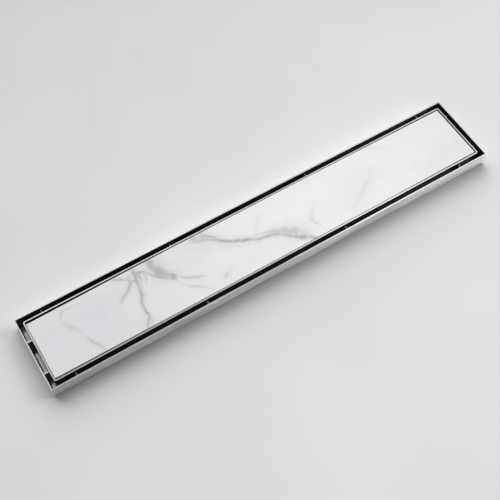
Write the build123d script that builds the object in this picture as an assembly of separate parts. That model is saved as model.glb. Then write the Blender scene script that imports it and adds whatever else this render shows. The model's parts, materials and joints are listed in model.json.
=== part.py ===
from build123d import *
import os

# Linear shower drain with a tile insert. Millimetres, X along the drain, Y across it, Z up.
# The origin is the centre of the outlet spigot's lower end.

# Channel body: one sheet, folded up on four sides and pressed down to the outlet
CHANNEL_LENGTH = 600.0
CHANNEL_WIDTH = 98.0
CHANNEL_HEIGHT = 20.0  # rim to the underside of the ledge
CHANNEL_SHEET = 1.5
CHANNEL_FOLD = 1.0  # inside radius
LEDGE_MARGIN = 1.5  # flat ledge inside the water slot
FLOOR_FALL = 4.0  # ledge to sump

# Outlet spigot: a plain tube, welded under the sump
SPIGOT_DIAMETER = 50.0
SPIGOT_WALL = 1.5
SPIGOT_LENGTH = 32.0
SPIGOT_CHAMFER = 0.6

# Hair strainer: a pressed dish that hangs in the outlet by its flange
STRAINER_SHEET = 0.8
STRAINER_DEPTH = 14.0
STRAINER_TAPER = 4.5  # mouth radius less floor radius
STRAINER_LAP = 4.0  # flange past the bore
STRAINER_CLEARANCE = 0.75
STRAINER_HOLE = 3.5
STRAINER_HOLE_RINGS = 2  # round the middle hole
STRAINER_HOLE_MARGIN = 1.7  # outer ring to the dish wall
SUMP_MARGIN = 2.0  # flat sump past the flange

# Tile tray: one thin sheet, with rounded upright corners
SLOT_WIDTH = 6.0  # water slot between channel wall and tray wall
TRAY_SHEET = 1.5
TRAY_FOLD = 1.0  # inside radius
TRAY_CORNER = 2.5  # outside radius

# Marble tile and its bed of adhesive
TILE_THICKNESS = 9.0
TILE_SETBACK = 0.3  # face of the tile under the rim
TILE_ARRIS = 0.5
BED_THICKNESS = 2.0
BED_INSET = 4.0  # from the tray's inner faces

# Open joints between the tile and the tray; the long edges are hand cut and bow towards the rim
JOINT_LEFT = 0.5
JOINT_RIGHT = 1.5
JOINT_FRONT_LEFT = 1.6
JOINT_FRONT_MIDDLE = 0.6
JOINT_FRONT_RIGHT = 1.3
JOINT_BACK_LEFT = 2.8
JOINT_BACK_MIDDLE = 0.5
JOINT_BACK_RIGHT = 1.6

# Spacer fins: upright plates on the tray's walls that stand on the channel's ledge
FIN_THICKNESS = 2.0
FIN_CLEARANCE = 0.3  # to the channel wall
FIN_CORNER_MARGIN = 0.8  # cut corner past the channel's fold
FIN_TOP_DROP = 5.5  # under the rim, in the shade of the slot
LEFT_FIN_TOP_DROP = 1.8  # the fins of the left end stand higher
FIN_INSET_LEFT_END = 24.5  # first fin of the long sides, from the tray's left end
FIN_INSET_RIGHT_END = 29.5
FIN_MIDDLE_LEFT = 101.0  # inner fins of the long sides, from the middle
FIN_MIDDLE_RIGHT = 91.0
LEFT_FIN_INSET_FRONT = 15.0  # fins of the left end, from the tray's long edges
LEFT_FIN_INSET_BACK = 24.5
RIGHT_FIN_INSET = 13.5  # fins of the right end, from either long edge

EDGE_BREAK = 0.25  # dressed sheet edges at the rims

# Plan sizes that follow
INNER_LENGTH = CHANNEL_LENGTH - 2 * CHANNEL_SHEET
INNER_WIDTH = CHANNEL_WIDTH - 2 * CHANNEL_SHEET
SEAT_LENGTH = INNER_LENGTH - 2 * (SLOT_WIDTH + LEDGE_MARGIN)
SEAT_WIDTH = INNER_WIDTH - 2 * (SLOT_WIDTH + LEDGE_MARGIN)
SPIGOT_BORE = SPIGOT_DIAMETER - 2 * SPIGOT_WALL
STRAINER_FLANGE = SPIGOT_BORE + 2 * STRAINER_LAP
SUMP_SIDE = STRAINER_FLANGE + 2 * SUMP_MARGIN
TRAY_LENGTH = INNER_LENGTH - 2 * SLOT_WIDTH
TRAY_WIDTH = INNER_WIDTH - 2 * SLOT_WIDTH
TRAY_INNER_LENGTH = TRAY_LENGTH - 2 * TRAY_SHEET
TRAY_INNER_WIDTH = TRAY_WIDTH - 2 * TRAY_SHEET
TRAY_DEPTH = TRAY_SHEET + BED_THICKNESS + TILE_THICKNESS + TILE_SETBACK

# Levels that follow, from the spigot's lower end up
SUMP_UNDER_Z = SPIGOT_LENGTH
SUMP_TOP_Z = SUMP_UNDER_Z + CHANNEL_SHEET
LEDGE_UNDER_Z = SUMP_UNDER_Z + FLOOR_FALL
LEDGE_TOP_Z = LEDGE_UNDER_Z + CHANNEL_SHEET
RIM_Z = LEDGE_UNDER_Z + CHANNEL_HEIGHT
TRAY_UNDER_Z = RIM_Z - TRAY_DEPTH
BED_UNDER_Z = TRAY_UNDER_Z + TRAY_SHEET
TILE_UNDER_Z = BED_UNDER_Z + BED_THICKNESS


def folded_block(outline, height, fold_radius):
    """Block on z = 0 whose lower edges are rounded as a fold rounds them."""
    block = extrude(outline, height)
    lower_edges = block.faces().sort_by(Axis.Z)[0].edges()
    return fillet(lower_edges, fold_radius)


def break_rim(pan):
    """Takes the sharp edges off the top face of a pan."""
    rim_edges = pan.faces().sort_by(Axis.Z)[-1].edges()
    return chamfer(rim_edges, EDGE_BREAK)


def floor_fall(top_z):
    """Four flat falls, cross-broken from the ledge down to the square sump."""
    seat = Pos(Z=top_z) * Rectangle(SEAT_LENGTH, SEAT_WIDTH)
    sump = Pos(Z=top_z - FLOOR_FALL) * Rectangle(SUMP_SIDE, SUMP_SIDE)
    return loft([seat, sump], ruled=True)


def channel_body():
    """Outer pan with welded sharp corners, a flat ledge, the falls and the outlet hole."""
    outside = folded_block(
        Rectangle(CHANNEL_LENGTH, CHANNEL_WIDTH), CHANNEL_HEIGHT, CHANNEL_FOLD + CHANNEL_SHEET
    )
    inside = folded_block(Rectangle(INNER_LENGTH, INNER_WIDTH), CHANNEL_HEIGHT, CHANNEL_FOLD)
    pan = Pos(Z=LEDGE_UNDER_Z) * outside + floor_fall(LEDGE_UNDER_Z)
    pan -= Pos(Z=LEDGE_TOP_Z) * inside
    pan -= floor_fall(LEDGE_TOP_Z)
    pan = break_rim(pan)
    outlet_hole = extrude(Circle(SPIGOT_BORE / 2), CHANNEL_SHEET)
    return pan - Pos(Z=SUMP_UNDER_Z) * outlet_hole


def outlet_spigot():
    """Plain tube up to the sump's underside, its lower end chamfered to enter a pipe socket."""
    tube = extrude(Circle(SPIGOT_DIAMETER / 2) - Circle(SPIGOT_BORE / 2), SPIGOT_LENGTH)
    lower_edges = tube.faces().sort_by(Axis.Z)[0].edges()
    return chamfer(lower_edges.sort_by(SortBy.RADIUS)[-1], SPIGOT_CHAMFER)


def hair_strainer():
    """Pressed dish with a flange, pierced with rings of round holes in its floor."""
    mouth_radius = SPIGOT_BORE / 2 - STRAINER_CLEARANCE
    floor_radius = mouth_radius - STRAINER_TAPER
    section = Polyline(
        (0, -STRAINER_DEPTH),
        (floor_radius, -STRAINER_DEPTH),
        (mouth_radius, 0),
        (STRAINER_FLANGE / 2, 0),
        (STRAINER_FLANGE / 2, STRAINER_SHEET),
        (mouth_radius - STRAINER_SHEET, STRAINER_SHEET),
        (floor_radius - STRAINER_SHEET, STRAINER_SHEET - STRAINER_DEPTH),
        (0, STRAINER_SHEET - STRAINER_DEPTH),
        close=True,
    )
    dish = revolve(Plane.XZ * make_face(section), Axis.Z)
    outer_ring = floor_radius - STRAINER_SHEET - STRAINER_HOLE_MARGIN - STRAINER_HOLE / 2
    holes = Circle(STRAINER_HOLE / 2)
    for ring in range(1, STRAINER_HOLE_RINGS + 1):
        ring_radius = outer_ring * ring / STRAINER_HOLE_RINGS
        holes += PolarLocations(ring_radius, 6 * ring) * Circle(STRAINER_HOLE / 2)
    punches = Pos(Z=-STRAINER_DEPTH) * extrude(holes, STRAINER_SHEET)
    return Pos(Z=SUMP_TOP_Z) * (dish - punches)


def tile_tray():
    """Inner pan, folded from thin sheet, with rounded upright corners."""
    outside = folded_block(
        RectangleRounded(TRAY_LENGTH, TRAY_WIDTH, TRAY_CORNER), TRAY_DEPTH, TRAY_FOLD + TRAY_SHEET
    )
    inside = folded_block(
        RectangleRounded(TRAY_INNER_LENGTH, TRAY_INNER_WIDTH, TRAY_CORNER - TRAY_SHEET), TRAY_DEPTH, TRAY_FOLD
    )
    return Pos(Z=TRAY_UNDER_Z) * break_rim(outside - Pos(Z=TRAY_SHEET) * inside)


def tile_bed():
    """Flat bed of adhesive that the tile is pressed into."""
    bed = Rectangle(TRAY_INNER_LENGTH - 2 * BED_INSET, TRAY_INNER_WIDTH - 2 * BED_INSET)
    return Pos(Z=BED_UNDER_Z) * extrude(bed, BED_THICKNESS)


def marble_tile():
    """Stone strip with straight ends, gently bowed long edges and dressed arrises."""
    left = JOINT_LEFT - TRAY_INNER_LENGTH / 2
    right = TRAY_INNER_LENGTH / 2 - JOINT_RIGHT
    face = TRAY_INNER_WIDTH / 2
    front_left = (left, JOINT_FRONT_LEFT - face)
    front_middle = (0, JOINT_FRONT_MIDDLE - face)
    front_right = (right, JOINT_FRONT_RIGHT - face)
    back_right = (right, face - JOINT_BACK_RIGHT)
    back_middle = (0, face - JOINT_BACK_MIDDLE)
    back_left = (left, face - JOINT_BACK_LEFT)
    outline = Curve() + [
        ThreePointArc(front_left, front_middle, front_right),
        Line(front_right, back_right),
        ThreePointArc(back_right, back_middle, back_left),
        Line(back_left, front_left),
    ]
    tile = extrude(make_face(outline), TILE_THICKNESS)
    tile = chamfer(tile.faces().sort_by(Axis.Z)[-1].edges(), TILE_ARRIS)
    return Pos(Z=TILE_UNDER_Z) * tile


def fin_plate(top_drop):
    """Plate from the tray wall at x = 0 towards the channel wall at +X, standing on z = 0."""
    reach = SLOT_WIDTH - FIN_CLEARANCE
    height = RIM_Z - top_drop - LEDGE_TOP_Z
    corner_cut = CHANNEL_FOLD + FIN_CORNER_MARGIN
    outline = Polyline(
        (0, 0), (reach - corner_cut, 0), (reach, corner_cut), (reach, height), (0, height), close=True
    )
    return extrude(Plane.XZ * make_face(outline), FIN_THICKNESS / 2, both=True)


def spacer_fins():
    """All fins by name: on the long sides from left to right, on the ends from front to back."""
    half_length = TRAY_LENGTH / 2
    half_width = TRAY_WIDTH / 2
    long_stations = (
        FIN_INSET_LEFT_END - half_length,
        -FIN_MIDDLE_LEFT,
        FIN_MIDDLE_RIGHT,
        half_length - FIN_INSET_RIGHT_END,
    )
    left_stations = (LEFT_FIN_INSET_FRONT - half_width, half_width - LEFT_FIN_INSET_BACK)
    right_stations = (RIGHT_FIN_INSET - half_width, half_width - RIGHT_FIN_INSET)
    rows = {
        "right": (0, FIN_TOP_DROP, [(half_length, y) for y in right_stations]),
        "back": (90, FIN_TOP_DROP, [(x, half_width) for x in long_stations]),
        "left": (180, LEFT_FIN_TOP_DROP, [(-half_length, y) for y in left_stations]),
        "front": (270, FIN_TOP_DROP, [(x, -half_width) for x in long_stations]),
    }
    fins = {}
    for side, (turn, top_drop, places) in rows.items():
        for number, (x, y) in enumerate(places, 1):
            place = Pos(x, y, LEDGE_TOP_Z) * Rot(Z=turn)
            fins[f"spacer_fin_{side}_{number}"] = place * fin_plate(top_drop)
    return fins


pieces = {
    "channel_body": channel_body(),
    "outlet_spigot": outlet_spigot(),
    "hair_strainer": hair_strainer(),
    "tile_tray": tile_tray(),
    "tile_bed": tile_bed(),
    "marble_tile": marble_tile(),
    **spacer_fins(),
}

os.makedirs("parts", exist_ok=True)
for name, piece in pieces.items():
    export_step(piece, f"parts/{name}.step")
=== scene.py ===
"""Dresses the linear shower drain: brushed steel, veined marble, weld beads, floor, light and camera."""

import json
import logging
import math
from dataclasses import dataclass
from enum import Enum

import bpy
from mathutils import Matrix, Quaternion, Vector


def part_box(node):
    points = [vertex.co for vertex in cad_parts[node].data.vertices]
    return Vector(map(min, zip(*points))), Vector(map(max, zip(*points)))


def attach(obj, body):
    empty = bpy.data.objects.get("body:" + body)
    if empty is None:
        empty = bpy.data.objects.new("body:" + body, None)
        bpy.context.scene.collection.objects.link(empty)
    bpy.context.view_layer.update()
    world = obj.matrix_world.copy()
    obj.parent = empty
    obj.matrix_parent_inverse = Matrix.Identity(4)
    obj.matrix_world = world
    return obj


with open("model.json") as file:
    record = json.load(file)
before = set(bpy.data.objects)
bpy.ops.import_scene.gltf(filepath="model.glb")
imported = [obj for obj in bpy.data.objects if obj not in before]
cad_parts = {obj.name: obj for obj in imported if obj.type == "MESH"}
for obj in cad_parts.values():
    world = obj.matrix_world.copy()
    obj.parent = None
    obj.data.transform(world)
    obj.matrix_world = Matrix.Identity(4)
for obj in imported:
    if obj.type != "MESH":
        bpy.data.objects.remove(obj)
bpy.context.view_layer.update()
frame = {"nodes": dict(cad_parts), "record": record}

LOG = logging.getLogger("linear_shower_drain")
MM = 0.001
BODY = "root"
FACING = 0.7  # cosine from which a face counts as facing a direction

Colour = tuple[float, float, float]
Place = tuple[float, float, float]
Span = tuple[float, float]
Socket = bpy.types.NodeSocket
Feed = float | int | bool | tuple | Socket
Feeds = dict[str | int, Feed]

NOISE_SPAN: Span = (0.3, 0.7)  # most of a noise pattern lies between these


class Grain(Enum):
    """Which way the brushed lines run."""

    ALONG = "along the sheet, and upright on walls folded up at its ends"
    ROUND = "round the upright axis of a spun or drawn piece"
    UPRIGHT = "up and down a small plate"


class NodeSheet:
    """Adds nodes to one tree and wires them, so that a finish reads from top to bottom."""

    def __init__(self, tree: bpy.types.NodeTree) -> None:
        """Keeps the tree that the nodes go into."""
        self.tree = tree

    def feed(self, node: bpy.types.Node, feeds: Feeds) -> None:
        """Fills inputs of a node.

        Args:
            node: the node.
            feeds: what goes into each input: a socket is linked, anything else is a fixed value.
        """
        for key, feed in feeds.items():
            if isinstance(feed, Socket):
                self.tree.links.new(feed, node.inputs[key])
            else:
                node.inputs[key].default_value = feed

    def add(self, kind: str, feeds: Feeds | None = None, **settings: object) -> bpy.types.Node:
        """Adds one node.

        Args:
            kind: Blender's name for the type of node.
            feeds: what goes into its inputs.
            settings: the node's own options.

        Returns:
            The new node.
        """
        node = self.tree.nodes.new(kind)
        for option, choice in settings.items():
            setattr(node, option, choice)
        self.feed(node, feeds or {})
        return node

    def place(self) -> Socket:
        """Gives the place in the piece's own coordinates."""
        return self.add("ShaderNodeTexCoord").outputs["Object"]

    def normal(self) -> Socket:
        """Gives the direction that the surface faces, in the piece's own coordinates."""
        return self.add("ShaderNodeTexCoord").outputs["Normal"]

    def split(self, vector: Socket) -> list[Socket]:
        """Splits a vector into its X, Y and Z."""
        return list(self.add("ShaderNodeSeparateXYZ", {0: vector}).outputs)

    def join(self, x: Feed, y: Feed, z: Feed) -> Socket:
        """Makes a vector from its X, Y and Z."""
        return self.add("ShaderNodeCombineXYZ", {0: x, 1: y, 2: z}).outputs[0]

    def sum(self, operation: str, *terms: Feed, clamp: bool = False) -> Socket:
        """Adds a Math node.

        Args:
            operation: the sum it does.
            terms: its numbers or sockets, in order.
            clamp: whether the result is kept between 0 and 1.

        Returns:
            The result.
        """
        result = self.add("ShaderNodeMath", dict(enumerate(terms)), operation=operation).outputs[0]
        return self.add("ShaderNodeClamp", {"Value": result}).outputs[0] if clamp else result

    def vector(self, operation: str, *terms: Feed, number: bool = False) -> Socket:
        """Adds a Vector Math node.

        Args:
            operation: the sum it does.
            terms: its vectors or sockets, in order.
            number: whether the result is a number, as for a length or a dot product.

        Returns:
            The result.
        """
        node = self.add("ShaderNodeVectorMath", dict(enumerate(terms)), operation=operation)
        return node.outputs["Value" if number else "Vector"]

    def span(
        self, value: Feed, low: Feed, high: Feed, to_low: Feed = 0.0, to_high: Feed = 1.0
    ) -> Socket:
        """Turns a range of a value into another range, smoothly.

        Args:
            value: the value.
            low: where the range starts.
            high: where the range ends.
            to_low: what low becomes.
            to_high: what high becomes.

        Returns:
            The new value, never outside to_low and to_high.
        """
        feeds = {"Value": value, "From Min": low, "From Max": high, "To Min": to_low, "To Max": to_high}
        node = self.add("ShaderNodeMapRange", feeds, interpolation_type="SMOOTHSTEP", clamp=False)
        return node.outputs["Result"]

    def noise(
        self, point: Socket, scale: float, detail: float = 2.0, roughness: float = 0.5
    ) -> bpy.types.Node:
        """Adds a noise pattern.

        Args:
            point: where the pattern is read.
            scale: how many swells there are to a unit of point.
            detail: how many finer layers it has.
            roughness: how strong the finer layers are.

        Returns:
            The Noise Texture node, whose first output is a number and whose second is a colour.
        """
        feeds = {"Vector": point, "Scale": scale, "Detail": detail, "Roughness": roughness}
        return self.add("ShaderNodeTexNoise", feeds)

    def mix(self, share: Feed, first: Colour | Socket, second: Colour | Socket) -> Socket:
        """Mixes two colours.

        Args:
            share: how much of the second one there is.
            first: the first colour.
            second: the second colour.

        Returns:
            The mixed colour.
        """
        ends = [feed if isinstance(feed, Socket) else (*feed, 1.0) for feed in (first, second)]
        return self.add("ShaderNodeMix", {0: share, 6: ends[0], 7: ends[1]}, data_type="RGBA").outputs[2]

    def choose(self, share: Feed, first: Socket, second: Socket) -> Socket:
        """Goes from one vector to another as share goes from 0 to 1."""
        return self.add("ShaderNodeMix", {0: share, 4: first, 5: second}, data_type="VECTOR").outputs[1]

    def blend(self, share: Feed, first: Feed, second: Feed) -> Socket:
        """Goes from one number to another as share goes from 0 to 1."""
        return self.add("ShaderNodeMix", {0: share, 2: first, 3: second}).outputs[0]

    def bump(self, height: Socket, depth: float, strength: float) -> Socket:
        """Makes a surface look uneven.

        Args:
            height: the pattern, from 0 at its lowest to 1.
            depth: how deep it is, in metres.
            strength: how much of it shows.

        Returns:
            The direction that the uneven surface faces.
        """
        feeds = {"Height": height, "Distance": depth, "Strength": strength}
        return self.add("ShaderNodeBump", feeds).outputs["Normal"]


def new_material(name: str) -> tuple[bpy.types.Material, NodeSheet, bpy.types.Node]:
    """Starts a material.

    Args:
        name: its name.

    Returns:
        The material, its node sheet and its Principled shader.
    """
    material = bpy.data.materials.new(name)
    material.use_nodes = True
    return material, NodeSheet(material.node_tree), material.node_tree.nodes["Principled BSDF"]


def ledge_level() -> float:
    """Gives the level of the bedding ledge's underside, on which the channel lies."""
    mounts = {mount["name"]: mount for mount in frame["record"]["mounts"]}
    return mounts["bedding_ledge"]["pos_m"][2]


def give_material(node: str, material: bpy.types.Material) -> None:
    """Gives a node of the frame its material.

    Args:
        node: the node's name.
        material: the material that covers all of it.
    """
    slots = frame["nodes"][node].data.materials
    slots.clear()
    slots.append(material)
    LOG.info("%s dressed in %s", node, material.name)


@dataclass(frozen=True)
class PaintedShadeZone:
    """Where a piece is painted near-black as shade: below a level and inside its walls, but for a ledge.
    """

    below: float
    within: tuple[float, float] | None = None
    ledge: float | None = None
    ledge_margin: float = 0.05 * MM  # what lies this little above the ledge is still the ledge
    fold_reach: float = 1.9 * MM  # the ledge is painted near-black this close to the walls, a painted shade along the fold

    def inside(self, sheet: NodeSheet, point: Socket, inset: float) -> Socket:
        """Says which places lie inside the walls.

        Args:
            sheet: the material's nodes.
            point: the place in the piece's own coordinates.
            inset: how far inside the walls they have to be.

        Returns:
            1 inside and 0 elsewhere.
        """
        x, y, _ = sheet.split(sheet.vector("ABSOLUTE", point))
        sides = [sheet.sum("LESS_THAN", side, reach - inset) for side, reach in zip((x, y), self.within)]
        return sheet.sum("MULTIPLY", *sides)

    def brushed_ledge(self, sheet: NodeSheet, point: Socket) -> Socket:
        """Says which places lie on the ledge and clear of the painted shade along its walls.

        Args:
            sheet: the material's nodes.
            point: the place in the piece's own coordinates.

        Returns:
            1 there and 0 elsewhere.
        """
        upward = sheet.sum("GREATER_THAN", sheet.split(sheet.normal())[2], FACING)
        low = sheet.sum("LESS_THAN", sheet.split(point)[2], self.ledge + self.ledge_margin)
        level = sheet.sum("MULTIPLY", upward, low)
        return sheet.sum("MULTIPLY", level, self.inside(sheet, point, self.fold_reach))

    def share(self, sheet: NodeSheet, point: Socket) -> Socket:
        """Says where the steel is painted near-black as shade.

        Args:
            sheet: the material's nodes.
            point: the place in the piece's own coordinates.

        Returns:
            1 on painted shade and 0 on brushed steel.
        """
        share = sheet.sum("LESS_THAN", sheet.split(point)[2], self.below)
        if self.within is not None:
            share = sheet.sum("MULTIPLY", share, self.inside(sheet, point, 0.0))
        if self.ledge is not None:
            share = sheet.sum("SUBTRACT", share, self.brushed_ledge(sheet, point))
        return share


@dataclass(frozen=True)
class SteelFinish:
    """Stainless sheet with fine brushed lines, and painted near-black shade where a zone for it is given.
    """

    name: str
    grain: Grain
    painted_shade: PaintedShadeZone | None = None
    bright: Colour = (0.84, 0.84, 0.835)
    dark: Colour = (0.62, 0.62, 0.615)
    dull: Colour = (0.035, 0.035, 0.036)  # painted shade, near-black
    mottle: float = 1.4  # palest painted shade against the darkest
    mottle_span: Span = (0.35, 0.65)
    smoothest: float = 0.33
    roughest: float = 0.47
    ledge_roughness: float = 0.17  # the ledge is shinier than the walls
    line_pitch: float = 0.35 * MM
    line_length: float = 22.0 * MM
    line_depth: float = 0.012 * MM
    line_strength: float = 0.5
    line_span: Span = (0.36, 0.64)
    round_radius: float = 25.0 * MM  # where lines round an axis have their stated length
    streaks: Place = (0.3, 0.06, 0.06)  # scale of the broad streaks against the fine lines
    cloud_scale: float = 14.0  # swells to a metre
    cloud_share: float = 0.3  # of the clouds in the roughness
    anisotropy: float = 0.9
    across_lines: float = 0.25  # a quarter turn: reflections spread across the brushed lines

    def along_lines(self, sheet: NodeSheet, point: Socket) -> Socket:
        """Turns a place on the piece into one whose X runs along the brushed lines.

        Args:
            sheet: the material's nodes.
            point: the place in the piece's own coordinates.

        Returns:
            The place, with X in line lengths and the others in line pitches.
        """
        along, across = 1.0 / self.line_length, 1.0 / self.line_pitch
        x, y, z = sheet.split(point)
        if self.grain is Grain.ROUND:
            turn = sheet.sum("MULTIPLY", sheet.sum("ARCTAN2", y, x), self.round_radius)
            flat = sheet.vector("MULTIPLY", point, (1.0, 1.0, 0.0))
            lines = sheet.join(turn, sheet.vector("LENGTH", flat, number=True), z)
        else:
            lines = sheet.join(z, y, x)
        if self.grain is Grain.ALONG:
            sideways = sheet.sum("ABSOLUTE", sheet.split(sheet.normal())[0])
            lines = sheet.choose(sheet.sum("GREATER_THAN", sideways, FACING), point, lines)
        return sheet.vector("MULTIPLY", lines, (along, across, across))

    def material(self) -> bpy.types.Material:
        """Makes the steel.

        Returns:
            The material.
        """
        material, sheet, surface = new_material(self.name)
        point = sheet.place()
        lines = self.along_lines(sheet, point)
        fine = sheet.noise(lines, 1.0, detail=4.0, roughness=0.65).outputs[0]
        broad = sheet.noise(sheet.vector("MULTIPLY", lines, self.streaks), 1.0).outputs[0]
        cloud = sheet.noise(point, self.cloud_scale, detail=3.0).outputs[0]
        tone = sheet.blend(0.5, fine, broad)
        colour = sheet.mix(sheet.span(tone, *self.line_span), self.dark, self.bright)
        worn = sheet.blend(self.cloud_share, tone, cloud)
        rough = sheet.span(worn, *NOISE_SPAN, self.smoothest, self.roughest)
        # Painted shade: inside the zone the colour is painted near-black with a faint random mottle, but
        # the ledge stays brushed and shinier.
        if self.painted_shade is not None:
            palest = tuple(self.mottle * part for part in self.dull)
            painted_shade = sheet.mix(sheet.span(cloud, *self.mottle_span), self.dull, palest)
            colour = sheet.mix(self.painted_shade.share(sheet, point), colour, painted_shade)
            if self.painted_shade.ledge is not None:
                ledge = self.painted_shade.brushed_ledge(sheet, point)
                rough = sheet.blend(ledge, rough, self.ledge_roughness)
        sheet.feed(surface, {
            "Base Color": colour,
            "Metallic": 1.0,
            "Roughness": rough,
            "Anisotropic": self.anisotropy,
            "Anisotropic Rotation": self.across_lines,
            "Normal": sheet.bump(fine, self.line_depth, self.line_strength),
        })
        return material


@dataclass(frozen=True)
class WeldFinish(SteelFinish):
    """Weld metal: greyer than the sheet, and not brushed."""

    name: str = "weld_metal"
    grain: Grain = Grain.UPRIGHT
    bright: Colour = (0.36, 0.35, 0.34)
    dark: Colour = (0.24, 0.235, 0.23)
    smoothest: float = 0.30
    roughest: float = 0.5
    anisotropy: float = 0.0


@dataclass(frozen=True)
class VeinPoint:
    """A point of a vein: x and y from the drain's middle and the reach to each side, all in mm."""

    x: float
    y: float
    reach: float
    depth: float  # of colour, from 0 to 1


def vein(*points: tuple[float, float, float, float]) -> tuple[VeinPoint, ...]:
    """Makes a vein.

    Args:
        points: x, y, reach and depth of each of its points.

    Returns:
        The points in order.
    """
    return tuple(VeinPoint(*point) for point in points)


VEINS: dict[str, tuple[VeinPoint, ...]] = {
    "hook": vein((-243, 32, 2.5, 0.10), (-251, 31, 3.2, 0.30), (-254, 24, 3.0, 0.28)),
    "hook_smudge": vein((-246, 33, 4.0, 0.12), (-238, 31, 5.0, 0.12), (-227, 28, 5.0, 0.06)),
    "left_thread": vein(
        (-256, 19, 2.5, 0.14), (-252, 14, 3.0, 0.23), (-248, 7, 3.0, 0.26), (-243, 0, 3.0, 0.20),
        (-240, -7, 3.0, 0.08), (-238, -13, 3.0, 0.10),
    ),
    "left_foot": vein(
        (-238, -14, 3.0, 0.22), (-233, -25, 3.5, 0.34), (-230, -31, 3.5, 0.30), (-228, -37, 3.0, 0.24),
    ),
    "fork_left": vein((-180, 36, 3.0, 0.45), (-173, 32, 3.5, 0.50), (-167, 28, 3.0, 0.35)),
    "fork_twig": vein(
        (-166, 28, 3.0, 0.30), (-166, 22, 3.5, 0.42), (-173, 15, 3.5, 0.38), (-180, 11, 4.0, 0.42),
        (-187, 6, 3.5, 0.25),
    ),
    "fork_inner": vein((-167, 27, 2.5, 0.30), (-162, 23, 2.8, 0.42), (-158, 17, 2.5, 0.38)),
    "fork_cap": vein((-154, 34, 2.8, 0.40), (-161, 31, 2.8, 0.42), (-167, 28, 2.5, 0.30)),
    "bridge_drop": vein((-146, 26, 2.8, 0.40), (-148, 17, 2.6, 0.32), (-152, 9, 2.6, 0.14)),
    "fork_stem": vein(
        (-155, 34, 5.0, 0.45), (-156, 28, 5.0, 0.62), (-159, 21, 3.5, 0.50), (-160, 12, 3.5, 0.52),
        (-161, 3, 3.5, 0.55), (-166, -5, 4.0, 0.52), (-168, -14, 3.5, 0.52), (-169, -20, 3.2, 0.58),
        (-167, -24, 3.0, 0.50), (-172, -31, 3.5, 0.46), (-176, -38, 3.5, 0.36),
    ),
    "stem_strand": vein((-151, 29, 3.0, 0.42), (-154, 20, 3.0, 0.36), (-157, 12, 3.0, 0.25)),
    "fork_foot": vein((-167, -25, 2.5, 0.32), (-167, -32, 3.0, 0.30), (-169, -37, 3.0, 0.20)),
    "bridge": vein(
        (-157, 27, 3.0, 0.52), (-150, 29, 3.0, 0.52), (-146, 27, 3.2, 0.46), (-141, 20, 4.0, 0.50),
        (-133, 12, 5.0, 0.52), (-124, 4, 4.5, 0.48), (-119, 0, 4.0, 0.50),
    ),
    "wedge": vein(
        (-135, 37, 9.0, 0.50), (-134, 29, 10.0, 0.60), (-131, 19, 11.0, 0.62), (-124, 11, 9.0, 0.62),
        (-117, 2, 6.0, 0.56),
    ),
    "wedge_tail": vein(
        (-117, 2, 3.5, 0.42), (-108, -4, 3.5, 0.36), (-98, -10, 4.0, 0.40), (-90, -13, 3.0, 0.30),
    ),
    "low_branch": vein(
        (-118, -8, 3.0, 0.12), (-108, -17, 3.5, 0.22), (-97, -25, 3.5, 0.26), (-88, -33, 3.0, 0.12),
    ),
    "head_patch": vein((-76, 37, 10.0, 0.34), (-65, 33, 11.0, 0.44), (-58, 29, 6.0, 0.36)),
    "first_strand": vein(
        (-76, 32, 3.5, 0.40), (-66, 28, 3.5, 0.44), (-57, 23, 3.5, 0.46), (-48, 16, 4.0, 0.52),
    ),
    "second_strand": vein((-58, 30, 4.0, 0.52), (-54, 25, 4.0, 0.52), (-49, 17, 4.0, 0.55)),
    "main": vein(
        (-48, 16, 4.0, 0.56), (-42, 12, 4.2, 0.58), (-33, 7, 4.5, 0.62), (-24, 3, 5.0, 0.66),
        (-17, 0, 4.5, 0.56), (-8, -5, 4.5, 0.56), (0, -6, 4.0, 0.52), (8, -8, 5.0, 0.52),
        (15, -11, 5.0, 0.46), (22, -17, 5.0, 0.48), (30, -23, 5.0, 0.56), (37, -29, 6.0, 0.64),
        (44, -34, 5.0, 0.52), (51, -39, 3.5, 0.42),
    ),
    "main_strand": vein(
        (-28, 8, 4.0, 0.22), (-12, 3, 4.0, 0.18), (2, -1, 4.0, 0.24), (12, -4, 5.0, 0.32),
    ),
    "shoulder": vein(
        (8, -5, 6.0, 0.30), (18, -8, 9.0, 0.38), (28, -13, 11.0, 0.40), (35, -19, 10.0, 0.40),
        (42, -28, 8.0, 0.36), (47, -34, 5.0, 0.26),
    ),
    "under_haze": vein((-55, 11, 4.0, 0.08), (-42, 4, 4.5, 0.11), (-32, -1, 4.0, 0.08)),
    "upper_thread": vein((9, 23, 5.0, 0.10), (3, 17, 5.0, 0.12), (-6, 7, 5.0, 0.12)),
    "spot": vein((-68, -27, 5.0, 0.32), (-64, -24, 4.0, 0.22), (-58, -21, 4.0, 0.12)),
    "arc": vein(
        (76, 6, 4.0, 0.07), (68, -5, 3.5, 0.10), (61, -14, 3.0, 0.26), (60, -18, 3.0, 0.32),
        (63, -23, 3.0, 0.22),
    ),
    "right_thread": vein(
        (163, 9, 5.0, 0.06), (152, -4, 5.0, 0.08), (145, -7, 3.5, 0.11), (137, -13, 3.5, 0.13),
        (128, -20, 4.0, 0.09), (113, -28, 4.5, 0.08),
    ),
    "right_mark": vein(
        (178, 35, 3.0, 0.09), (186, 32, 3.5, 0.11), (195, 24, 4.0, 0.06), (205, 16, 4.0, 0.04),
    ),
    "low_right": vein((215, -10, 5.0, 0.07), (207, -18, 5.0, 0.07)),
}


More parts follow.
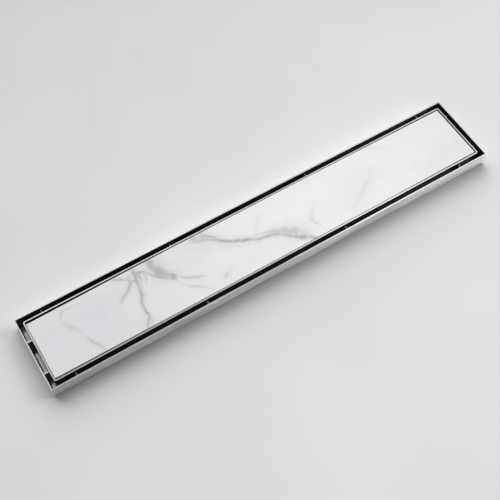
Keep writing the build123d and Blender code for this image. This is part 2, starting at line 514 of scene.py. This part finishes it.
@dataclass(frozen=True)
class MarbleFinish:
    """White marble with grey veins, honed to a soft polish on its face and saw-cut on its sides, which are
    painted near-black as shade.

    Lengths on the face are in mm, and a scale counts a pattern's swells to a mm.
    """

    face: float  # level of the tile's face
    name: str = "white_marble"
    ground: Colour = (0.87, 0.87, 0.88)
    cloud: Colour = (0.63, 0.645, 0.67)
    grey: Colour = (0.27, 0.27, 0.285)
    cloud_share: float = 0.18
    drift_scale: float = 0.016
    drift_stretch: Place = (0.7, 1.3, 1.0)
    drift_span: Span = (0.38, 0.72)
    unshaded_middle: float = 60.0  # from the drain's middle to where the stone is palest, clear of painted shade
    end_shade_reach: float = 350.0  # from there to where the painted shade is full
    end_shade_share: float = 0.5
    grain_scale: float = 1.4
    grain_span: Span = (0.3, 0.75)
    grain_share: float = 0.10
    wander: float = 4.0  # in which a vein strays from its line
    wander_scale: float = 0.045
    fray: float = 3.9  # in which its edges are ragged
    fray_scale: float = 0.30
    patch_scale: float = 0.11
    patch_span: Span = (0.25, 0.65)
    patch_depths: Span = (0.55, 1.25)  # a vein's palest and darkest stretches against its stated depth
    halo_reach: float = 2.2  # a vein's faint border against its core
    halo_depth: float = 0.3
    smoothest: float = 0.36
    roughest: float = 0.45
    sheen_span: Span = (0.2, 0.8)
    gloss: float = 0.3
    pore_depth: float = 0.02 * MM
    pore_strength: float = 0.25
    # Painted shade: the tile's sides are painted near-black.
    tile_side_shade: Colour = (0.10, 0.10, 0.10)
    tile_side_shade_pale: Colour = (0.15, 0.15, 0.15)
    arris: float = 0.7 * MM  # the saw-cut sides, painted near-black as shade, start this far below the face

    def vein_run(self) -> bpy.types.NodeTree:
        """Makes the node group that says how dark one straight run of a vein is at a point.

        Returns:
            The node group.
        """
        tree = bpy.data.node_groups.new("vein_run", "ShaderNodeTree")
        for name in ("Point", "Start", "Finish"):
            tree.interface.new_socket(name, in_out="INPUT", socket_type="NodeSocketVector")
        for name in ("Start Reach", "Finish Reach", "Start Depth", "Finish Depth"):
            tree.interface.new_socket(name, in_out="INPUT", socket_type="NodeSocketFloat")
        tree.interface.new_socket("Depth", in_out="OUTPUT", socket_type="NodeSocketFloat")
        sheet = NodeSheet(tree)
        given = sheet.add("NodeGroupInput").outputs
        run = sheet.vector("SUBTRACT", given["Finish"], given["Start"])
        off = sheet.vector("SUBTRACT", given["Point"], given["Start"])
        length = sheet.vector("DOT_PRODUCT", run, run, number=True)
        share = sheet.sum("DIVIDE", sheet.vector("DOT_PRODUCT", off, run, number=True), length, clamp=True)
        nearest = sheet.add("ShaderNodeVectorMath", {0: run, "Scale": share}, operation="SCALE").outputs[0]
        gap = sheet.vector("LENGTH", sheet.vector("SUBTRACT", off, nearest), number=True)
        reach = sheet.blend(share, given["Start Reach"], given["Finish Reach"])
        depth = sheet.blend(share, given["Start Depth"], given["Finish Depth"])
        core = sheet.span(gap, reach, 0.0, 0.0, depth)
        faint = sheet.sum("MULTIPLY", depth, self.halo_depth)
        halo = sheet.span(gap, sheet.sum("MULTIPLY", reach, self.halo_reach), 0.0, 0.0, faint)
        sheet.add("NodeGroupOutput", {"Depth": sheet.sum("MAXIMUM", core, halo)})
        return tree

    def veins(self, sheet: NodeSheet, bent: Socket) -> Socket:
        """Lays all the veins over each other.

        Args:
            sheet: the material's nodes.
            bent: the place on the bent face.

        Returns:
            How dark the darkest vein is there.
        """
        group = self.vein_run()
        darkest: Feed = 0.0
        for points in VEINS.values():
            for start, finish in zip(points, points[1:]):
                feeds = {
                    "Point": bent,
                    "Start": (start.x, start.y, 0.0),
                    "Finish": (finish.x, finish.y, 0.0),
                    "Start Reach": start.reach,
                    "Finish Reach": finish.reach,
                    "Start Depth": start.depth,
                    "Finish Depth": finish.depth,
                }
                run = sheet.add("ShaderNodeGroup", feeds, node_tree=group)
                darkest = sheet.sum("MAXIMUM", darkest, run.outputs["Depth"])
        return darkest

    def bend(self, sheet: NodeSheet, flat: Socket) -> Socket:
        """Bends the face, so that the veins wander and their edges fray.

        Args:
            sheet: the material's nodes.
            flat: the place on the face.

        Returns:
            The place on the bent face.
        """
        wander = sheet.noise(flat, self.wander_scale, detail=1.0).outputs[1]
        fray = sheet.noise(flat, self.fray_scale, detail=3.0, roughness=0.6).outputs[1]
        bent = flat
        for pattern, reach in ((wander, self.wander), (fray, self.fray)):
            swing = sheet.vector("SUBTRACT", pattern, (0.5, 0.5, 0.5))
            bent = sheet.vector("ADD", bent, sheet.vector("MULTIPLY", swing, (reach, reach, 0.0)))
        return bent

    def stone(self, sheet: NodeSheet, bent: Socket, grain: Socket) -> Socket:
        """Makes the colour of the stone between the veins.

        Args:
            sheet: the material's nodes.
            bent: the place on the bent face.
            grain: the pattern of the stone's fine grain.

        Returns:
            The colour: white, with grey clouds, and painted shade that greys it towards the ends, the left
                end most.
        """
        stretched = sheet.vector("MULTIPLY", bent, self.drift_stretch)
        drift = sheet.noise(stretched, self.drift_scale, detail=3.0).outputs[0]
        clouds = sheet.span(drift, *self.drift_span, 0.0, self.cloud_share)
        # Painted shade: the stone is painted greyer the farther it lies from its palest place.
        away = sheet.sum("ABSOLUTE", sheet.sum("SUBTRACT", sheet.split(bent)[0], self.unshaded_middle))
        end_shade = sheet.span(away, 0.0, self.end_shade_reach, 0.0, self.end_shade_share)
        colour = sheet.mix(sheet.sum("ADD", clouds, end_shade), self.ground, self.cloud)
        specks = sheet.span(grain, *self.grain_span, 0.0, self.grain_share)
        return sheet.mix(specks, colour, self.cloud)

    def material(self) -> bpy.types.Material:
        """Makes the marble.

        Returns:
            The material.
        """
        material, sheet, surface = new_material(self.name)
        point = sheet.place()
        flat = sheet.vector("MULTIPLY", point, (1 / MM, 1 / MM, 0.0))
        bent = self.bend(sheet, flat)
        patches = sheet.noise(flat, self.patch_scale, detail=3.0, roughness=0.6).outputs[0]
        patchy = sheet.span(patches, *self.patch_span, *self.patch_depths)
        darkness = sheet.sum("MULTIPLY", self.veins(sheet, bent), patchy, clamp=True)
        grain = sheet.noise(flat, self.grain_scale).outputs[0]
        face = sheet.mix(darkness, self.stone(sheet, bent, grain), self.grey)
        # Painted shade: the tile's sides are painted near-black.
        sides = sheet.mix(grain, self.tile_side_shade, self.tile_side_shade_pale)
        below = sheet.sum("LESS_THAN", sheet.split(point)[2], self.face - self.arris)
        sheet.feed(surface, {
            "Base Color": sheet.mix(below, face, sides),
            "Roughness": sheet.span(grain, *self.sheen_span, self.smoothest, self.roughest),
            "Specular IOR Level": self.gloss,
            "Normal": sheet.bump(grain, self.pore_depth, self.pore_strength),
        })
        return material


@dataclass(frozen=True)
class AdhesiveFinish:
    """Set tile adhesive: grey, matte and sandy."""

    name: str = "tile_adhesive"
    pale: Colour = (0.60, 0.59, 0.57)
    dark: Colour = (0.46, 0.455, 0.44)
    sand_scale: float = 1800.0  # swells to a metre
    sand_depth: float = 0.3 * MM
    sand_strength: float = 0.6
    trowel_scale: float = 60.0
    trowel_share: float = 0.4  # of the trowel's marks, against the sand
    roughness: float = 0.95

    def material(self) -> bpy.types.Material:
        """Makes the adhesive.

        Returns:
            The material.
        """
        material, sheet, surface = new_material(self.name)
        point = sheet.place()
        sand = sheet.noise(point, self.sand_scale, detail=3.0, roughness=0.7).outputs[0]
        trowel = sheet.noise(point, self.trowel_scale).outputs[0]
        tone = sheet.blend(self.trowel_share, sand, trowel)
        sheet.feed(surface, {
            "Base Color": sheet.mix(sheet.span(tone, *NOISE_SPAN), self.dark, self.pale),
            "Roughness": self.roughness,
            "Normal": sheet.bump(tone, self.sand_depth, self.sand_strength),
        })
        return material


@dataclass(frozen=True)
class FloorFinish:
    """Plain pale studio floor."""

    name: str = "studio_floor"
    pale: Colour = (0.775, 0.775, 0.78)
    shade: Colour = (0.745, 0.745, 0.75)
    mottle_scale: float = 5.0  # swells to a metre
    far: Colour = (0.95, 0.95, 0.955)  # away from the lamp the floor is paler, so that it doesn't darken
    near_reach: float = 0.9
    far_reach: float = 3.5
    roughness: float = 0.8

    def material(self) -> bpy.types.Material:
        """Makes the floor's paint.

        Returns:
            The material.
        """
        material, sheet, surface = new_material(self.name)
        point = sheet.place()
        mottle = sheet.noise(point, self.mottle_scale, detail=3.0).outputs[0]
        near = sheet.mix(sheet.span(mottle, *NOISE_SPAN), self.pale, self.shade)
        away = sheet.span(sheet.vector("LENGTH", point, number=True), self.near_reach, self.far_reach)
        sheet.feed(surface, {
            "Base Color": sheet.mix(away, near, self.far),
            "Roughness": self.roughness,
            "Specular IOR Level": 0.0,
        })
        return material


@dataclass(frozen=True)
class WeldBead:
    """A rippled bead of weld metal, laid along paths by one node tree."""

    name: str
    slot: str
    reach: float
    ripple: float
    swell: float = 0.16
    steps: int = 5  # rings of the bead to a ripple
    sides: int = 8

    def tree(self) -> bpy.types.NodeTree:
        """Makes the node tree that turns edges into a bead.

        Returns:
            The tree, with inputs for its sizes and its material.
        """
        tree = bpy.data.node_groups.new(self.name, "GeometryNodeTree")
        ports = {
            "Paths": "NodeSocketGeometry",
            "Reach": "NodeSocketFloat",
            "Ripple": "NodeSocketFloat",
            "Swell": "NodeSocketFloat",
            "Steps": "NodeSocketInt",
            "Sides": "NodeSocketInt",
            "Metal": "NodeSocketMaterial",
        }
        for name, kind in ports.items():
            tree.interface.new_socket(name, in_out="INPUT", socket_type=kind)
        tree.interface.new_socket("Bead", in_out="OUTPUT", socket_type="NodeSocketGeometry")
        sheet = NodeSheet(tree)
        given = sheet.add("NodeGroupInput").outputs
        line = sheet.add("GeometryNodeMeshToCurve", {"Mesh": given["Paths"]}).outputs[0]
        pace = {"Curve": line, "Length": sheet.sum("DIVIDE", given["Ripple"], given["Steps"])}
        line = sheet.add("GeometryNodeResampleCurve", pace, mode="LENGTH").outputs[0]
        index = sheet.add("GeometryNodeInputIndex").outputs[0]
        phase = sheet.sum("MULTIPLY", sheet.sum("DIVIDE", index, given["Steps"]), math.tau)
        wave = sheet.sum("MULTIPLY_ADD", sheet.sum("COSINE", phase), given["Swell"], 1.0)
        radius = sheet.sum("MULTIPLY", wave, given["Reach"])
        ring = {"Resolution": given["Sides"], "Radius": 1.0}
        profile = sheet.add("GeometryNodeCurvePrimitiveCircle", ring).outputs[0]
        feeds = {"Curve": line, "Profile Curve": profile, "Scale": radius, "Fill Caps": True}
        bead = sheet.add("GeometryNodeCurveToMesh", feeds).outputs[0]
        bead = sheet.add("GeometryNodeSetShadeSmooth", {0: bead}).outputs[0]
        bead = sheet.add("GeometryNodeRealizeInstances", {0: bead}).outputs[0]
        metal = {"Geometry": bead, "Material": given["Metal"]}
        bead = sheet.add("GeometryNodeSetMaterial", metal).outputs[0]
        sheet.add("NodeGroupOutput", {"Bead": bead})
        return tree

    def guide(self, paths: list[list[Place]], closed: bool) -> bpy.types.Object:
        """Makes the edges that the bead is laid along.

        Args:
            paths: the points of each path, in metres.
            closed: whether each path runs back to its start.

        Returns:
            The edges, as an object of the scene.
        """
        points, edges = [], []
        for path in paths:
            first, count = len(points), len(path)
            points.extend(path)
            edges.extend((first + i, first + i + 1) for i in range(count - 1))
            if closed:
                edges.append((first + count - 1, first))
        mesh = bpy.data.meshes.new(self.name + "_guide")
        mesh.from_pydata(points, edges, [])
        guide = bpy.data.objects.new(self.name + "_guide", mesh)
        bpy.context.scene.collection.objects.link(guide)
        return guide

    def lay(self, paths: list[list[Place]], closed: bool, metal: bpy.types.Material) -> None:
        """Lays the bead along paths and turns it into a plain mesh that rides on the drain.

        Args:
            paths: the points of each path, in metres.
            closed: whether each path runs back to its start.
            metal: the bead's material.
        """
        guide = self.guide(paths, closed)
        tree = self.tree()
        modifier = guide.modifiers.new("bead", "NODES")
        modifier.node_group = tree
        sizes = {
            "Reach": self.reach,
            "Ripple": self.ripple,
            "Swell": self.swell,
            "Steps": self.steps,
            "Sides": self.sides,
            "Metal": metal,
        }
        for item in tree.interface.items_tree:
            if item.in_out == "INPUT" and item.name in sizes:
                modifier[item.identifier] = sizes[item.name]
        graph = bpy.context.evaluated_depsgraph_get()
        mesh = bpy.data.meshes.new_from_object(guide.evaluated_get(graph))
        guide.modifiers.remove(modifier)
        bpy.data.objects.remove(guide)
        mesh.name = self.name
        bead = bpy.data.objects.new(self.name, mesh)
        bpy.context.scene.collection.objects.link(bead)
        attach(bead, BODY)
        LOG.info("%s laid on %d paths, %d faces", self.name, len(paths), len(mesh.polygons))


@dataclass
class ChannelPan:
    """The outer pan with its outlet spigot, welded on under the sump."""

    pan: str = "channel_body"
    spigot: str = "outlet_spigot"
    sheet: float = 1.5 * MM
    wall_share: float = 0.9  # of the sheet, which leaves the walls' inner faces to the painted shade
    rim_dressing: float = 0.35 * MM  # the rim is brushed this far down inside
    bead_reach: float = 1.4 * MM
    bead_ripple: float = 2.2 * MM
    bead_sink: float = 0.42 * MM  # the bead's middle lies this far below the sump
    ring_points: int = 96

    def dress(self) -> None:
        """Gives the pan and the spigot their steel."""
        _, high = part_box(self.pan)
        wall = self.wall_share * self.sheet
        inner = (high.x - wall, high.y - wall)
        # Painted shade: the pan is painted near-black inside its walls below the rim, all but the ledge.
        painted_shade = PaintedShadeZone(high.z - self.rim_dressing, inner, ledge_level() + self.sheet)
        give_material(self.pan, SteelFinish("channel_steel_brushed", Grain.ALONG, painted_shade).material())
        drawn = SteelFinish("spigot_steel_drawn", Grain.ROUND, smoothest=0.32, roughest=0.45)
        give_material(self.spigot, drawn.material())

    def weld_spigot(self, metal: bpy.types.Material) -> None:
        """Lays the bead where the spigot meets the sump.

        Args:
            metal: the bead's material.
        """
        low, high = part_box(self.spigot)
        radius = (high.x - low.x) / 2
        level = high.z - self.bead_sink
        turns = [math.tau * i / self.ring_points for i in range(self.ring_points)]
        ring = [(radius * math.cos(turn), radius * math.sin(turn), level) for turn in turns]
        WeldBead("spigot_weld", "outlet_steel", self.bead_reach, self.bead_ripple).lay([ring], True, metal)


@dataclass
class Strainer:
    """The pressed dish that catches hair in the outlet."""

    dish: str = "hair_strainer"
    line_length: float = 12.0 * MM
    smoothest: float = 0.22
    roughest: float = 0.34

    def dress(self) -> None:
        """Gives the dish its spun steel."""
        looks = {"line_length": self.line_length, "smoothest": self.smoothest, "roughest": self.roughest}
        give_material(self.dish, SteelFinish("strainer_steel_spun", Grain.ROUND, **looks).material())


@dataclass
class TileInsert:
    """The tile tray with its marble, the adhesive under it and the fins that space it in the channel."""

    tray: str = "tile_tray"
    tile: str = "marble_tile"
    bed: str = "tile_bed"
    fin_prefix: str = "spacer_fin_"
    rim_dressing: float = 0.35 * MM  # the rim and the fins' tops are brushed this far down
    # Painted shade: the fins' sides are painted near-black.
    fin_side_shade: Colour = (0.03, 0.03, 0.03)
    fin_line_length: float = 8.0 * MM
    # Painted shade: the lower fins' tops are painted greyer than the tall fins' tops.
    low_fin_bright: Colour = (0.40, 0.40, 0.395)
    low_fin_dark: Colour = (0.28, 0.28, 0.275)
    bead_reach: float = 0.45 * MM
    bead_ripple: float = 0.9 * MM
    bead_sides: int = 6
    bead_foot: float = 3.2 * MM  # from the tray's underside, clear of its fold
    bead_head: float = 1.6 * MM  # from the fin's top

    def fins(self) -> list[str]:
        """Names the fins."""
        return sorted(name for name in frame["nodes"] if name.startswith(self.fin_prefix))

    def fin_steel(self, name: str, top: float, **colours: Colour) -> bpy.types.Material:
        """Makes the steel of fins of one height, brushed on top and painted near-black as shade on the
        sides.

        Args:
            name: the material's name.
            top: the level of their tops.
            colours: the colours of the brushed top, where they aren't the usual ones.

        Returns:
            The material.
        """
        # Painted shade: below their tops the fins are painted near-black.
        cut = PaintedShadeZone(top - self.rim_dressing)
        looks = {"dull": self.fin_side_shade, "line_length": self.fin_line_length, **colours}
        return SteelFinish(name, Grain.UPRIGHT, cut, **looks).material()

    def dress(self) -> None:
        """Gives the tray, tile, adhesive and fins their materials."""
        # Painted shade: the tray is painted near-black below its rim, where its walls stand in the slots.
        rim = PaintedShadeZone(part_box(self.tray)[1].z - self.rim_dressing)
        give_material(self.tray, SteelFinish("tray_steel_brushed", Grain.ALONG, rim).material())
        give_material(self.tile, MarbleFinish(face=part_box(self.tile)[1].z).material())
        give_material(self.bed, AdhesiveFinish().material())
        tops = {fin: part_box(fin)[1].z for fin in self.fins()}
        tall = max(tops.values())
        low = max(top for top in tops.values() if top < tall - self.rim_dressing)
        # Painted shade: the lower fins get the greyer tops.
        shaded_tops = {"bright": self.low_fin_bright, "dark": self.low_fin_dark}
        tall_steel = self.fin_steel("fin_steel_tall", tall)
        low_steel = self.fin_steel("fin_steel_low", low, **shaded_tops)
        for fin, top in tops.items():
            give_material(fin, tall_steel if top > low else low_steel)

    def weld_fins(self, metal: bpy.types.Material) -> None:
        """Lays two short upright beads where each fin meets the tray's wall.

        Args:
            metal: the beads' material.
        """
        tray_low, tray_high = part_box(self.tray)
        bottom = tray_low.z + self.bead_foot
        paths = []
        for fin in self.fins():
            low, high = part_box(fin)
            if high.y <= tray_low.y or low.y >= tray_high.y:
                wall = tray_low.y if high.y <= tray_low.y else tray_high.y
                feet = [(low.x, wall), (high.x, wall)]
            else:
                wall = tray_low.x if high.x <= tray_low.x else tray_high.x
                feet = [(wall, low.y), (wall, high.y)]
            paths.extend([[(x, y, bottom), (x, y, high.z - self.bead_head)] for x, y in feet])
        bead = WeldBead("fin_welds", "fin_steel", self.bead_reach, self.bead_ripple, sides=self.bead_sides)
        bead.lay(paths, False, metal)


@dataclass(frozen=True)
class Lamp:
    """A square soft lamp with a grid that keeps its light off what it isn't aimed at."""

    name: str
    place: Place
    aim: Place
    size: float
    power: float
    spread: float  # degrees

    def hang(self) -> None:
        """Hangs the lamp."""
        data = bpy.data.lights.new(self.name, "AREA")
        data.shape = "SQUARE"
        data.size = self.size
        data.energy = self.power
        data.spread = math.radians(self.spread)
        lamp = bpy.data.objects.new(self.name, data)
        lamp.location = self.place
        lamp.rotation_mode = "QUATERNION"
        lamp.rotation_quaternion = (Vector(self.aim) - Vector(self.place)).to_track_quat("-Z", "Y")
        lamp.visible_camera = False
        bpy.context.scene.collection.objects.link(lamp)
        LOG.info("%s lamp hung", self.name)


@dataclass(frozen=True)
class Patch:
    """A soft patch of the surround that is brighter or darker than the rest."""

    towards: Place
    strength: float
    edge: float  # cosine of the angle at which it has faded out

    def level(self, sheet: NodeSheet, direction: Socket) -> Socket:
        """Says how much the patch adds to the surround.

        Args:
            sheet: the surround's nodes.
            direction: the direction in which the surround is seen.

        Returns:
            What it adds, below 0 where the patch is dark.
        """
        middle = tuple(Vector(self.towards).normalized())
        facing = sheet.vector("DOT_PRODUCT", direction, middle, number=True)
        return sheet.span(facing, self.edge, 1.0, 0.0, self.strength)


@dataclass
class Studio:
    """Floor, light and camera. The floor lies at the bedding ledge, as when the drain is fitted."""

    floor_reach: float = 40.0
    opening_margin: float = 7.0 * MM  # the floor reaches this far under the pan's edge
    glows: tuple[Patch, ...] = (Patch((0.2, 0.8, 0.6), 2.9, 0.5),)
    backdrop: float = 0.9
    shades: tuple[Patch, ...] = (
        Patch((-0.45, 0.10, 0.89), -0.6, 0.5),
        Patch((-0.20, -0.97, 0.15), -0.85, 0.6),
        Patch((0.58, -0.80, 0.17), 2.5, 0.97),
    )
    fill: Lamp = Lamp(
        "fill", place=(1.25, -0.45, 1.2), aim=(0.15, -0.15, 0.04), size=1.0, power=1.75, spread=60.0
    )
    camera_place: Place = (-0.31105, -0.46238, 0.98536)
    camera_aim: Place = (-0.02566, -0.01221, 0.05600)
    camera_roll: float = 0.769  # degrees
    lens: float = 65.69
    sensor: float = 36.0

    def lay_floor(self) -> None:
        """Lays the floor round the channel, with the opening that its falls and spigot pass through."""
        level = ledge_level()
        low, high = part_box("channel_body")
        left, right = low.x + self.opening_margin, high.x - self.opening_margin
        front, back = low.y + self.opening_margin, high.y - self.opening_margin
        far = self.floor_reach
        outer = [(-far, -far), (far, -far), (far, far), (-far, far)]
        inner = [(left, front), (right, front), (right, back), (left, back)]
        points = [(x, y, level) for x, y in outer + inner]
        faces = [(i, (i + 1) % 4, (i + 1) % 4 + 4, i + 4) for i in range(4)]
        mesh = bpy.data.meshes.new("floor")
        mesh.from_pydata(points, [], faces)
        mesh.materials.append(FloorFinish().material())
        floor = bpy.data.objects.new("floor", mesh)
        bpy.context.scene.collection.objects.link(floor)
        LOG.info("floor laid at %.1f mm", level / MM)

    def surround(
        self, sheet: NodeSheet, direction: Socket, patches: tuple[Patch, ...], level: float = 0.0
    ) -> Socket:
        """Makes one reading of the surround.

        Args:
            sheet: the surround's nodes.
            direction: the direction in which it is seen.
            patches: its brighter and darker patches.
            level: how bright it is away from them.

        Returns:
            The background's light.
        """
        strength: Feed = level
        for patch in patches:
            strength = sheet.sum("ADD", strength, patch.level(sheet, direction))
        white = (1.0, 1.0, 1.0, 1.0)
        return sheet.add("ShaderNodeBackground", {"Color": white, "Strength": strength}).outputs[0]

    def light(self) -> None:
        """Hangs the lamp, and lights matte faces by glows while the camera and metal see a backdrop."""
        self.fill.hang()
        world = bpy.data.worlds.new("surround")
        world.use_nodes = True
        sheet = NodeSheet(world.node_tree)
        world.node_tree.nodes.clear()
        rays = sheet.add("ShaderNodeLightPath").outputs
        first = sheet.sum("LESS_THAN", rays["Diffuse Depth"], 0.5)
        mirrored = sheet.sum("MULTIPLY", rays["Is Glossy Ray"], first)
        seen = sheet.sum("MAXIMUM", rays["Is Camera Ray"], rays["Is Transmission Ray"])
        seen = sheet.sum("MAXIMUM", seen, mirrored)
        direction = sheet.add("ShaderNodeTexCoord").outputs["Generated"]
        glow = self.surround(sheet, direction, self.glows)
        backdrop = self.surround(sheet, direction, self.shades, self.backdrop)
        mixed = sheet.add("ShaderNodeMixShader", {0: seen, 1: glow, 2: backdrop})
        sheet.add("ShaderNodeOutputWorld", {"Surface": mixed.outputs[0]})
        bpy.context.scene.world = world
        LOG.info("surround set")

    def set_camera(self) -> None:
        """Sets the camera at the photograph's angle."""
        data = bpy.data.cameras.new("camera")
        data.lens = self.lens
        data.sensor_width = self.sensor
        camera = bpy.data.objects.new("camera", data)
        camera.location = self.camera_place
        look = (Vector(self.camera_aim) - Vector(self.camera_place)).to_track_quat("-Z", "Y")
        camera.rotation_mode = "QUATERNION"
        camera.rotation_quaternion = look @ Quaternion((0.0, 0.0, 1.0), math.radians(self.camera_roll))
        bpy.context.scene.collection.objects.link(camera)
        bpy.context.scene.camera = camera
        LOG.info("camera set")


def main() -> None:
    """Builds and dresses the drain, then sets the floor, the light and the camera."""
    logging.basicConfig(level=logging.INFO, format="%(name)s: %(message)s")
    bpy.context.scene.view_settings.view_transform = "Standard"
    weld_metal = WeldFinish().material()
    channel, strainer, insert = ChannelPan(), Strainer(), TileInsert()
    channel.dress()
    channel.weld_spigot(weld_metal)
    strainer.dress()
    insert.dress()
    insert.weld_fins(weld_metal)
    studio = Studio()
    studio.lay_floor()
    studio.light()
    studio.set_camera()


if __name__ == "__main__":
    main()
